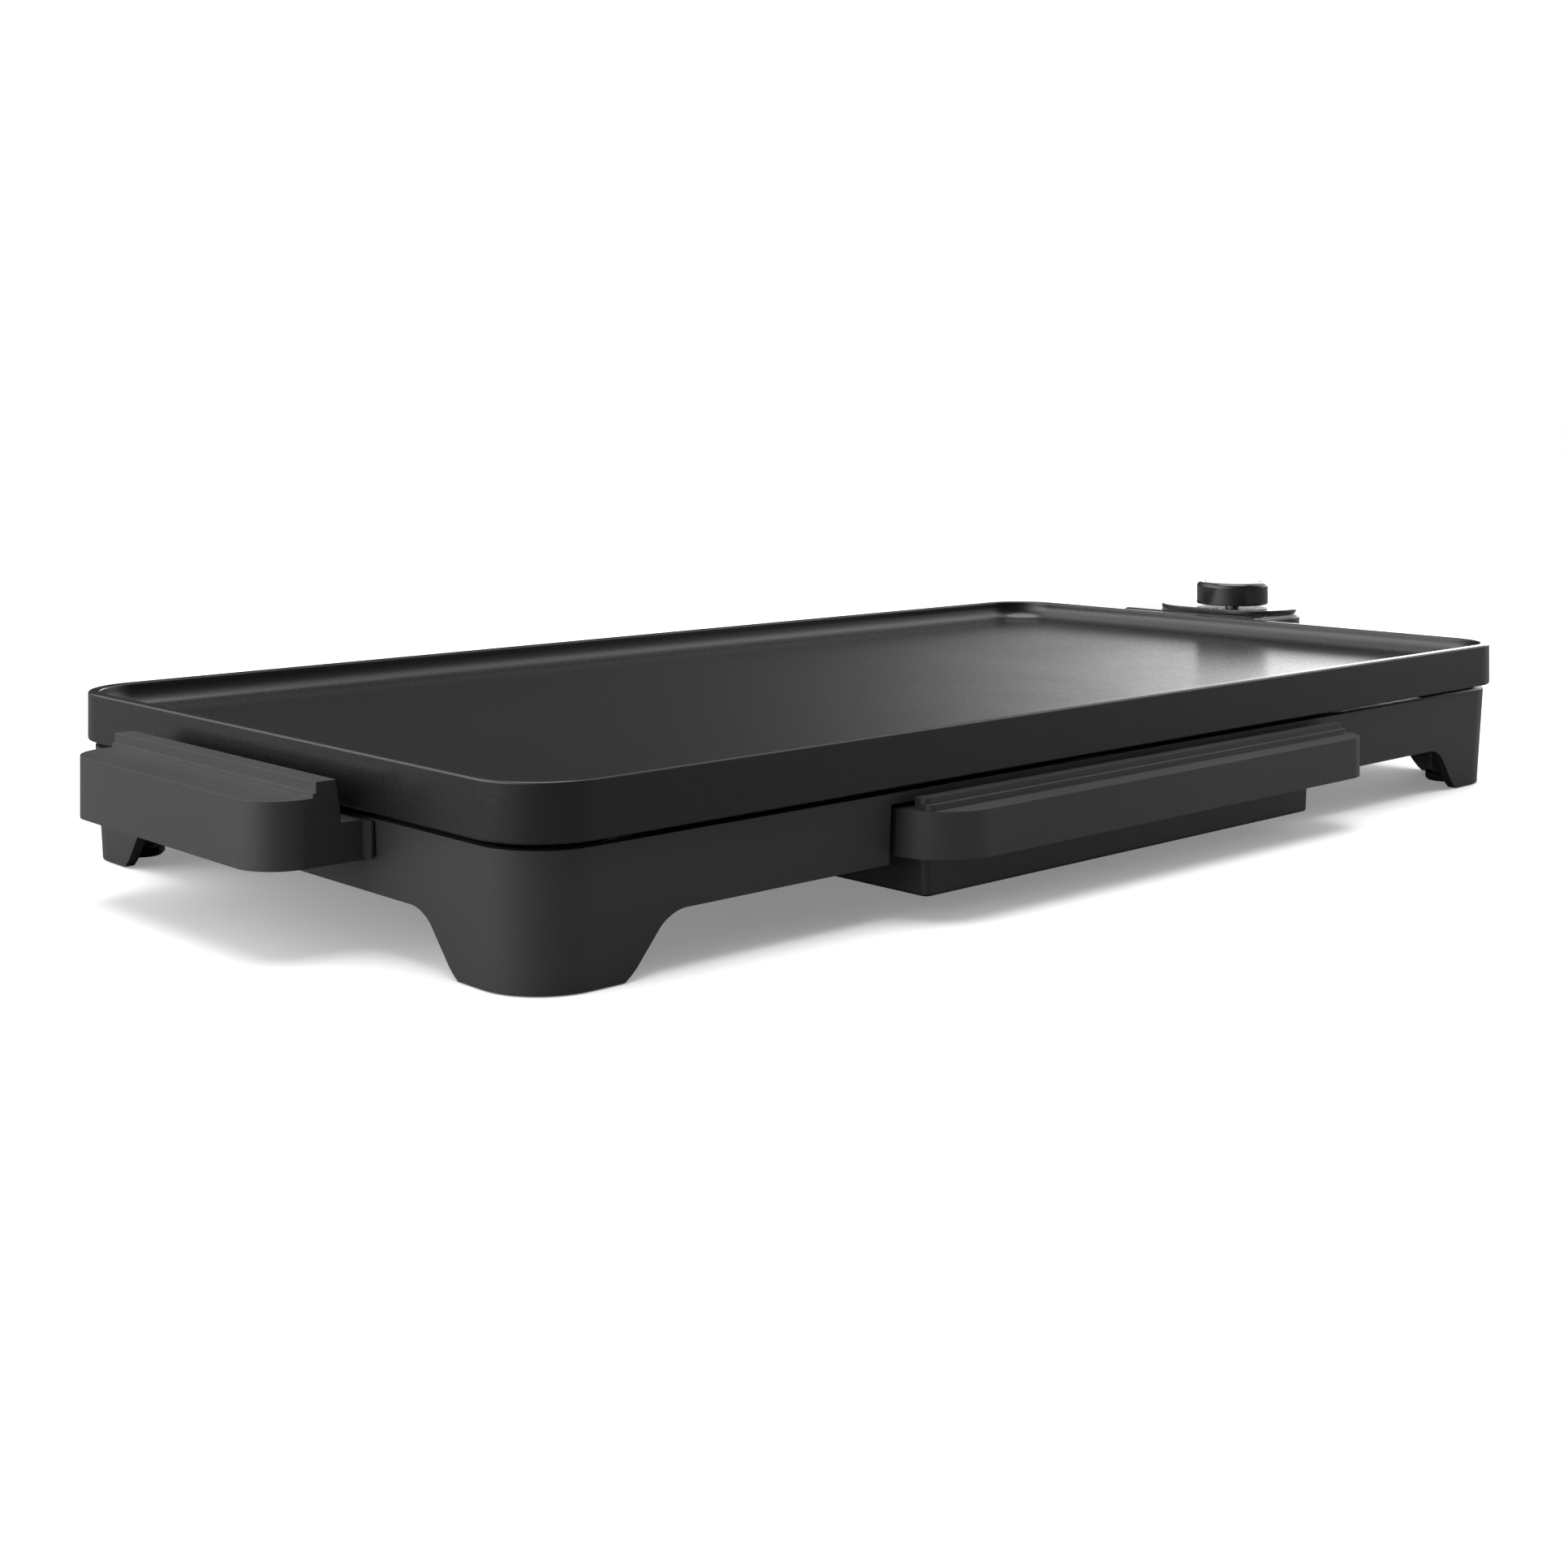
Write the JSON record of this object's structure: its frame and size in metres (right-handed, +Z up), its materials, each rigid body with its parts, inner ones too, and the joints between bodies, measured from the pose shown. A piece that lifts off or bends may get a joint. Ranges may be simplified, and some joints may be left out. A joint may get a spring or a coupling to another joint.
{
  "type": "electric griddle",
  "caption": "Table-top electric griddle: rimmed cast plate on a moulded footed base, side handles, front drip tray drawer and a plug-in thermostat with a knob.",
  "frame": {"origin": "centre of the overall bounding box at the resting surface", "axes": "+X along the long side towards the thermostat, +Y towards the back, the drip tray opens to -Y, +Z up"},
  "size_m": [0.574, 0.2754, 0.0692],
  "materials": {
    "moulded_black": "fine satin grain",
    "coated_black": "non-stick coated casting",
    "gloss_black": "polished",
    "zinc_steel": "zinc plated",
    "bare_steel": "plain sheet and tube",
    "foot_rubber": "soft",
    "insulator": "fired, unglazed",
    "lamp_amber": "clear coloured",
    "print_white": "printed inlay"
  },
  "bodies": {
    "base": {"base_shell": "moulded_black", "element_clamp_back": "bare_steel", "element_clamp_front": "bare_steel", "foot_pad_back_left": "foot_rubber", "foot_pad_back_right": "foot_rubber", "foot_pad_front_left": "foot_rubber", "foot_pad_front_right": "foot_rubber", "griddle_plate": "coated_black", "handle_left": "moulded_black", "handle_left_screw_back": "zinc_steel", "handle_left_screw_front": "zinc_steel", "handle_right": "moulded_black", "handle_right_screw_back": "zinc_steel", "handle_right_screw_front": "zinc_steel", "heat_shield": "bare_steel", "heating_element": "zinc_steel", "plate_post_back_left": "zinc_steel", "plate_post_back_right": "zinc_steel", "plate_post_front_left": "zinc_steel", "plate_post_front_right": "zinc_steel", "plate_screw_back_left": "zinc_steel", "plate_screw_back_right": "zinc_steel", "plate_screw_front_left": "zinc_steel", "plate_screw_front_right": "zinc_steel", "probe_hanger": "bare_steel", "probe_well": "bare_steel", "terminal_pin_back": "bare_steel", "terminal_pin_front": "bare_steel", "terminal_shroud": "insulator", "tray_rail_left": "moulded_black", "tray_rail_right": "moulded_black"},
    "drip_tray": {"drip_tray": "moulded_black", "tray_grip": "moulded_black", "tray_grip_screw_left": "zinc_steel", "tray_grip_screw_right": "zinc_steel"},
    "thermostat": {"contact_sleeve_back": "zinc_steel", "contact_sleeve_front": "zinc_steel", "cord_gland": "foot_rubber", "dial_plate": "gloss_black", "housing_screw_back": "zinc_steel", "housing_screw_front": "zinc_steel", "pilot_lamp": "insulator", "pilot_lens": "lamp_amber", "probe_rod": "bare_steel", "switch_block": "insulator", "thermostat_lower": "moulded_black", "thermostat_upper": "gloss_black"},
    "knob": {"knob_cap": "gloss_black", "knob_spindle": "bare_steel", "knob_pointer": "print_white"}
  },
  "joints": [
    {"name": "tray_slide", "type": "slide", "parent": "base", "child": "drip_tray", "axis": [0, -1, 0], "range_m": [0, 0.15]},
    {"name": "thermostat_pull", "type": "slide", "parent": "base", "child": "thermostat", "axis": [1, 0, 0], "range_m": [0, 0.08]},
    {"name": "knob_turn", "type": "hinge", "parent": "thermostat", "child": "knob", "pos_m": [0.262, 0.03175, 0.064], "axis": [0, 0, -1], "range_deg": [0, 270]}
  ]
}
